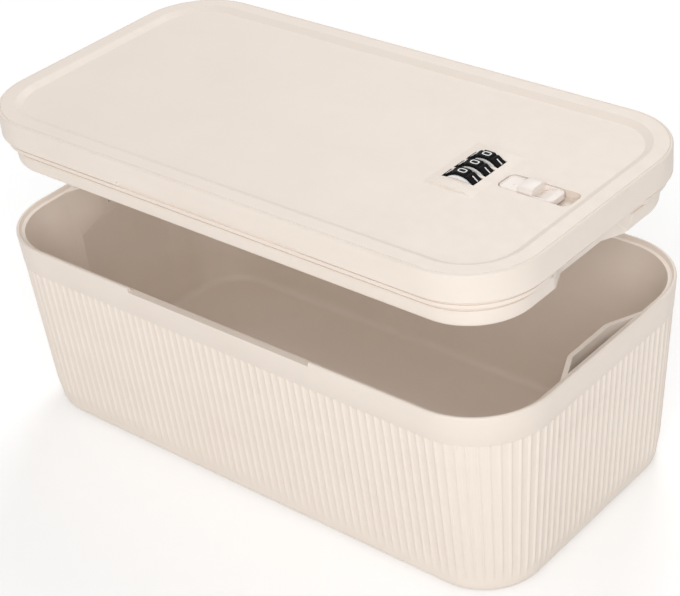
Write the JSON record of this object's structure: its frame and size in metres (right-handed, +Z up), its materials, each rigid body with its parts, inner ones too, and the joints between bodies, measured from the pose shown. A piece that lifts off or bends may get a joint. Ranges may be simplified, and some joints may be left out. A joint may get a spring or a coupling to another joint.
{
  "type": "lidded storage box with combination lock",
  "caption": "Ribbed cream plastic storage box whose lift-off lid carries a combination lock with turning number wheels and a slide that throws a bolt into a pocket at each end.",
  "frame": {"origin": "middle of the underside of the box", "axes": "+X towards the lock end, -Y the front, +Z up"},
  "size_m": [0.31, 0.164, 0.171],
  "materials": {
    "shell": "satin moulded plastic",
    "inner_shell": "matt moulded plastic",
    "wheel": "moulded plastic",
    "lock_frame": "moulded plastic",
    "steel": "zinc plated",
    "brass": "turned"
  },
  "bodies": {
    "box": {"box_body": "shell"},
    "lid": {"lid_cover": "shell", "lid_tray": "inner_shell", "lid_screws": "steel", "lock_access_plate": "inner_shell", "access_screws": "steel", "lock_housing": "lock_frame", "housing_screws": "steel", "detent_spring": "steel", "detent_rivets": "brass", "rocker_pivot": "steel", "bolt_guide_1": "inner_shell", "bolt_guide_2": "inner_shell", "bolt_guide_3": "inner_shell", "guide_screws": "steel", "click_spring": "steel", "click_screws": "steel", "sleeve_spring": "steel"},
    "wheel_1": {"number_wheel_1": "wheel"},
    "wheel_2": {"number_wheel_2": "wheel"},
    "wheel_3": {"number_wheel_3": "wheel"},
    "code_shaft": {"wheel_axle": "steel", "axle_clips": "steel", "spacer_washers": "steel", "reset_slider": "lock_frame"},
    "sleeve_1": {"code_sleeve_1": "brass"},
    "sleeve_2": {"code_sleeve_2": "brass"},
    "sleeve_3": {"code_sleeve_3": "brass"},
    "latch": {"slide_button": "shell", "button_screws": "steel", "right_bolt": "steel", "fence_comb": "steel", "comb_rivets": "brass"},
    "left_latch": {"left_bolt": "steel"},
    "rocker": {"rocker_link": "brass"}
  },
  "joints": [
    {"name": "lid_lift", "type": "slide", "parent": "box", "child": "lid", "axis": [0, 0, 1], "range_m": [-0.056, 0.045]},
    {"name": "wheel_1_spin", "type": "hinge", "parent": "lid", "child": "wheel_1", "pos_m": [0.087, -0.0092, 0.1595], "axis": [0, 1, 0], "continuous": true},
    {"name": "wheel_2_spin", "type": "hinge", "parent": "lid", "child": "wheel_2", "pos_m": [0.087, 0, 0.1595], "axis": [0, 1, 0], "continuous": true},
    {"name": "wheel_3_spin", "type": "hinge", "parent": "lid", "child": "wheel_3", "pos_m": [0.087, 0.0092, 0.1595], "axis": [0, 1, 0], "continuous": true},
    {"name": "code_reset", "type": "slide", "parent": "lid", "child": "code_shaft", "axis": [0, 1, 0], "range_m": [0, 0.001], "stiffness_N_per_m": 400},
    {"name": "sleeve_1_spin", "type": "hinge", "parent": "code_shaft", "child": "sleeve_1", "pos_m": [0.087, -0.0092, 0.1595], "axis": [0, 1, 0], "continuous": true},
    {"name": "sleeve_2_spin", "type": "hinge", "parent": "code_shaft", "child": "sleeve_2", "pos_m": [0.087, 0, 0.1595], "axis": [0, 1, 0], "continuous": true},
    {"name": "sleeve_3_spin", "type": "hinge", "parent": "code_shaft", "child": "sleeve_3", "pos_m": [0.087, 0.0092, 0.1595], "axis": [0, 1, 0], "continuous": true},
    {"name": "latch_slide", "type": "slide", "parent": "lid", "child": "latch", "axis": [1, 0, 0], "range_m": [0, 0.007]},
    {"name": "left_latch_slide", "type": "slide", "parent": "lid", "child": "left_latch", "axis": [-1, 0, 0], "range_m": [0, 0.007]},
    {"name": "rocker_turn", "type": "hinge", "parent": "lid", "child": "rocker", "pos_m": [0.03, 0, 0.145], "axis": [0, 0, -1], "range_deg": [0, 51.89]}
  ],
  "couplings": [
    {"joint": "sleeve_1_spin", "follows": "wheel_1_spin", "ratio": 1},
    {"joint": "sleeve_2_spin", "follows": "wheel_2_spin", "ratio": 1},
    {"joint": "sleeve_3_spin", "follows": "wheel_3_spin", "ratio": 1},
    {"joint": "left_latch_slide", "follows": "latch_slide", "ratio": 1},
    {"joint": "rocker_turn", "follows": "latch_slide", "rad_per_m": 129.37}
  ]
}
